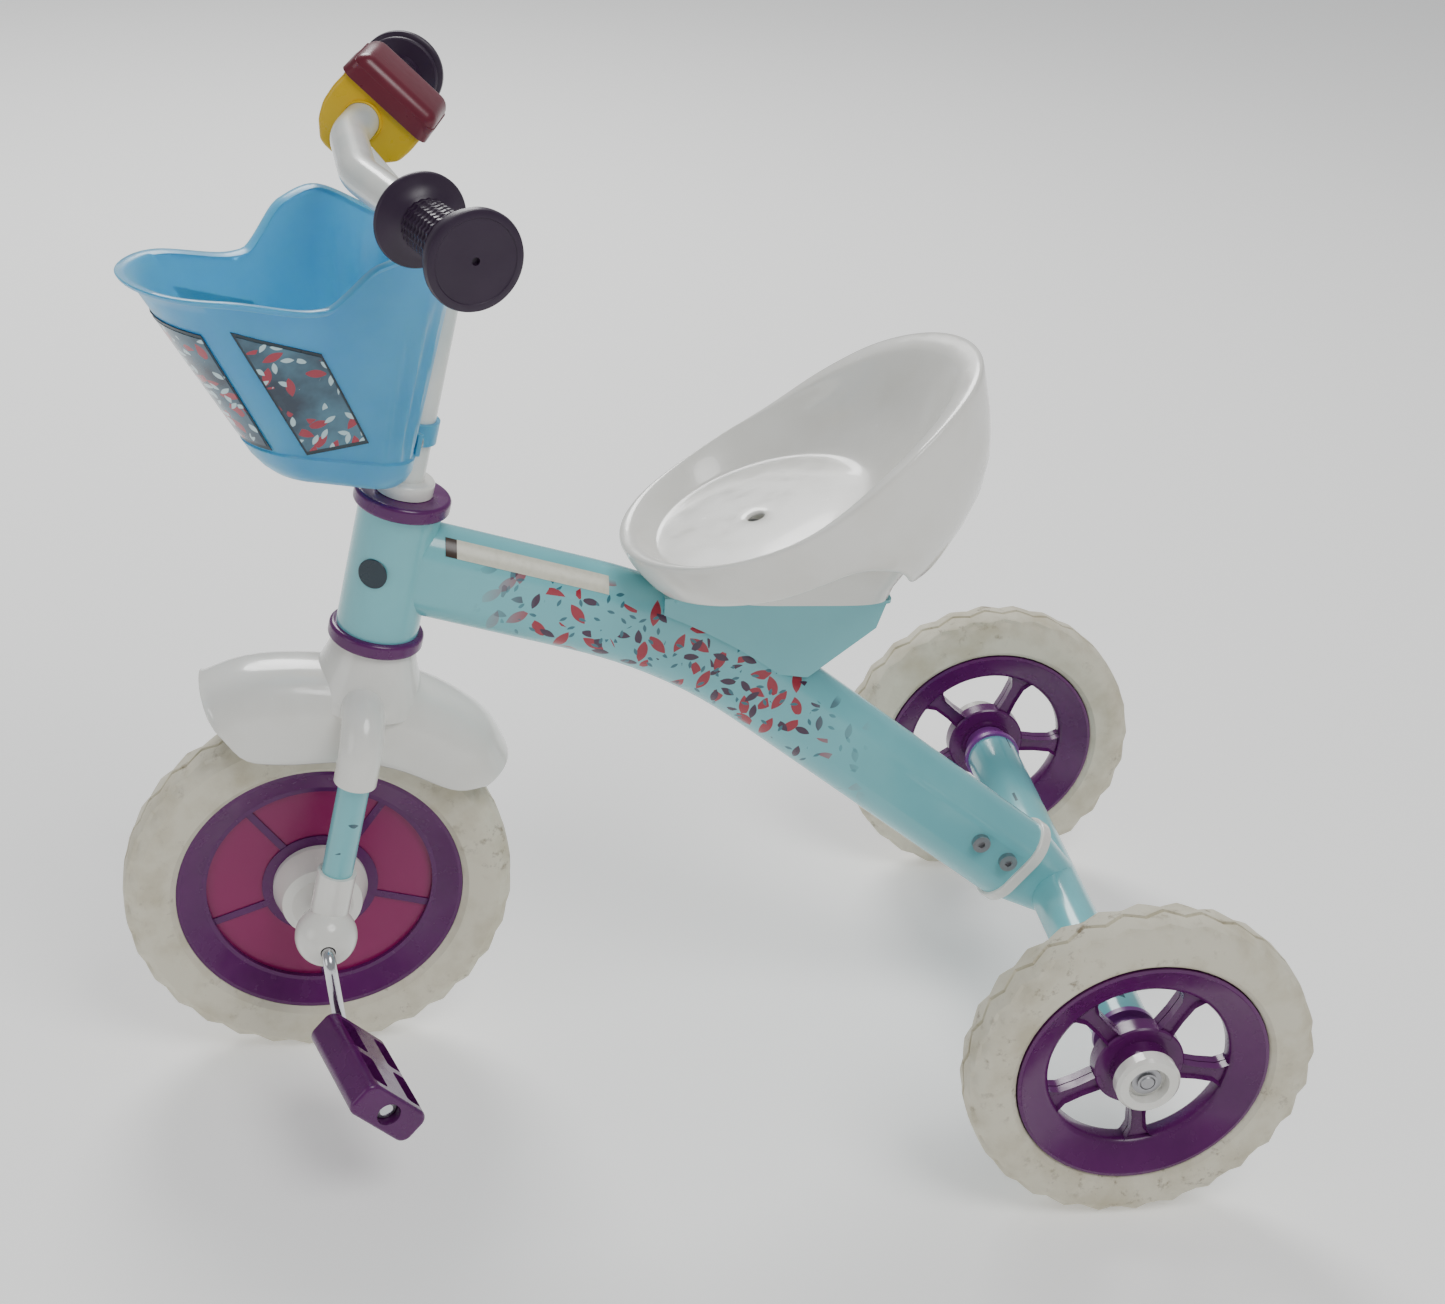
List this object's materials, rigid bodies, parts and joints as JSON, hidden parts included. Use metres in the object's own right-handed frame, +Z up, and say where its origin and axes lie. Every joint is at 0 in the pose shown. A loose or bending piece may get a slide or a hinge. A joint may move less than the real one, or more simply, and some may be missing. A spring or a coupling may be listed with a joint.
{
  "type": "children's tricycle",
  "caption": "Children's tricycle with an oval-tube frame, a bucket seat, a pedal-driven front wheel, free rear wheels, a mudguard, a handlebar basket and a squeeze bell.",
  "frame": {"origin": "on the ground, under the centre of the overall bounding box", "axes": "+X forward, +Y the rider's left, +Z up; the rear axle lies along Y"},
  "size_m": [0.7456, 0.452, 0.6612],
  "materials": {
    "frame_paint": "gloss pale teal enamel",
    "stem_paint": "gloss white enamel",
    "white_plastic": "smooth moulded white",
    "purple_plastic": "moulded plum",
    "lilac_plastic": "moulded lilac",
    "magenta_panel": "translucent magenta",
    "basket_plastic": "translucent blue",
    "tyre_foam": "cream foam rubber, soiled tread",
    "grip_rubber": "dark aubergine, ribbed",
    "bell_yellow": "moulded yellow",
    "bell_maroon": "moulded maroon",
    "chrome": "bright plated",
    "steel": "zinc plated"
  },
  "bodies": {
    "frame": {"axle_push_nuts": "steel", "backbone_end_collar": "white_plastic", "backbone_tube": "frame_paint", "head_tube": "frame_paint", "headset_cup_lower": "purple_plastic", "headset_cup_upper": "purple_plastic", "joint_bolts": "steel", "joint_nuts": "steel", "rear_axle_bush_left": "lilac_plastic", "rear_axle_bush_right": "lilac_plastic", "rear_axle_rod": "steel", "rear_axle_tube": "frame_paint", "rear_socket_stub": "frame_paint", "seat_bolt": "steel", "seat_bracket": "frame_paint", "seat_nut": "steel", "seat_shell": "white_plastic"},
    "steering": {"basket": "basket_plastic", "basket_clamp": "basket_plastic", "basket_screws": "steel", "bell_body": "bell_yellow", "bell_clamp": "bell_yellow", "fork_bush_left": "lilac_plastic", "fork_bush_right": "lilac_plastic", "fork_end_cover_left": "white_plastic", "fork_end_cover_right": "white_plastic", "fork_legs": "frame_paint", "grip_left": "grip_rubber", "grip_right": "grip_rubber", "handlebar": "stem_paint", "handlebar_stem": "stem_paint", "mudguard": "white_plastic", "steerer_tube": "frame_paint", "stem_locknut": "white_plastic"},
    "front_wheel": {"crank_axle": "chrome", "front_rim": "purple_plastic", "front_tyre": "tyre_foam", "front_wheel_panels": "magenta_panel", "hub_plate_left": "white_plastic", "hub_plate_right": "white_plastic", "hub_plate_screws": "steel", "pedal_push_nuts": "steel"},
    "pedal_left": {"pedal_left": "purple_plastic"},
    "pedal_right": {"pedal_right": "purple_plastic"},
    "bell_cover": {"bell_cover": "bell_maroon"},
    "rear_wheel_left": {"rear_tyre_left": "tyre_foam", "rear_rim_left": "purple_plastic", "rear_hub_bush_left": "white_plastic"},
    "rear_wheel_right": {"rear_tyre_right": "tyre_foam", "rear_rim_right": "purple_plastic", "rear_hub_bush_right": "white_plastic"}
  },
  "joints": [
    {"name": "steering_turn", "type": "hinge", "parent": "frame", "child": "steering", "pos_m": [0.20022, 0, 0.35958], "axis": [-0.1736, 0, 0.9848], "range_deg": [-64.5, 55.5]},
    {"name": "front_wheel_spin", "type": "hinge", "parent": "steering", "child": "front_wheel", "pos_m": [0.24599, 0.00037, 0.127], "axis": [-0.0773, 0.9969, -0.0136], "continuous": true},
    {"name": "pedal_left_spin", "type": "hinge", "parent": "front_wheel", "child": "pedal_left", "pos_m": [0.21549, 0.14421, 0.07573], "axis": [-0.3141, 0.9492, 0.0189], "continuous": true},
    {"name": "pedal_right_spin", "type": "hinge", "parent": "front_wheel", "child": "pedal_right", "pos_m": [0.27649, -0.14347, 0.17826], "axis": [-0.3141, 0.9492, 0.0189], "continuous": true},
    {"name": "bell_press", "type": "slide", "parent": "steering", "child": "bell_cover", "axis": [0.6243, -0.1376, -0.769], "range_m": [0, 0.003], "stiffness_N_per_m": 1200, "springref_m": -0.001},
    {"name": "rear_wheel_left_spin", "type": "hinge", "parent": "frame", "child": "rear_wheel_left", "pos_m": [-0.2615, 0.2, 0.1115], "axis": [0, 1, 0], "continuous": true},
    {"name": "rear_wheel_right_spin", "type": "hinge", "parent": "frame", "child": "rear_wheel_right", "pos_m": [-0.2615, -0.2, 0.1115], "axis": [0, 1, 0], "continuous": true}
  ]
}
